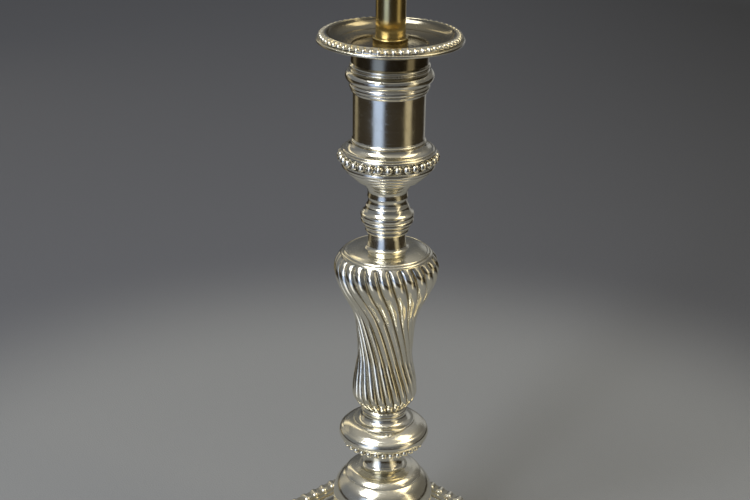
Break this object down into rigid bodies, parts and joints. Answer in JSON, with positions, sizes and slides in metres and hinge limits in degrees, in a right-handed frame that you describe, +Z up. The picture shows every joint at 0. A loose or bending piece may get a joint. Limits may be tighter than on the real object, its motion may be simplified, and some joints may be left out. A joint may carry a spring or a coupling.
{
  "type": "candlestick lamp",
  "caption": "Table lamp on a turned silver-plated candlestick with a spirally lobed stem, beaded borders, a drip pan, a brass tube and a bayonet lampholder.",
  "frame": {"origin": "middle of the underside of the felt pad", "axes": "+Z up the stem, X and Y along the sides of the square foot, +Y to the back where the flex enters"},
  "size_m": [0.1162, 0.1162, 0.3824],
  "materials": {
    "silver": "polished silver plate, slightly warm",
    "brass": "satin polished",
    "steel": "zinc plated",
    "felt": "green baize",
    "plaster": "cast plaster",
    "bush": "moulded",
    "insulator": "moulded phenolic"
  },
  "bodies": {
    "body": {"foot": "silver", "foot_border": "silver", "dome": "silver", "lower_knop": "silver", "lower_knop_beads": "silver", "baluster": "silver", "upper_knop": "silver", "candle_socket": "silver", "socket_beads": "silver", "drip_pan": "silver", "pan_beads": "silver", "tube_collar": "brass", "brass_tube": "brass", "holder_cap": "brass", "holder_skirt": "brass", "holder_barrel": "brass", "terminal_screws": "brass", "lamp_pipe": "steel", "base_washer": "steel", "base_nut": "steel", "base_plate": "steel", "grub_screw": "steel", "contact_spring_left": "steel", "contact_spring_right": "steel", "felt_pad": "felt", "foot_filler": "plaster", "cable_bush": "bush", "holder_insulator": "insulator"},
    "switch": {"switch_bar": "brass"},
    "left_contact": {"contact_left": "brass"},
    "right_contact": {"contact_right": "brass"},
    "ring": {"shade_ring": "brass"}
  },
  "joints": [
    {"name": "switch_slide", "type": "slide", "parent": "body", "child": "switch", "axis": [1, 0, 0], "range_m": [0, 0.006]},
    {"name": "contact_left_press", "type": "slide", "parent": "body", "child": "left_contact", "axis": [0, 0, -1], "range_m": [0, 0.003], "stiffness_N_per_m": 800, "springref_m": -0.002, "deforming": ["contact_spring_left"]},
    {"name": "contact_right_press", "type": "slide", "parent": "body", "child": "right_contact", "axis": [0, 0, -1], "range_m": [0, 0.003], "stiffness_N_per_m": 800, "springref_m": -0.002, "deforming": ["contact_spring_right"]},
    {"name": "shade_ring_lift", "type": "slide", "parent": "body", "child": "ring", "axis": [0, 0, 1], "range_m": [0, 0.045]}
  ]
}
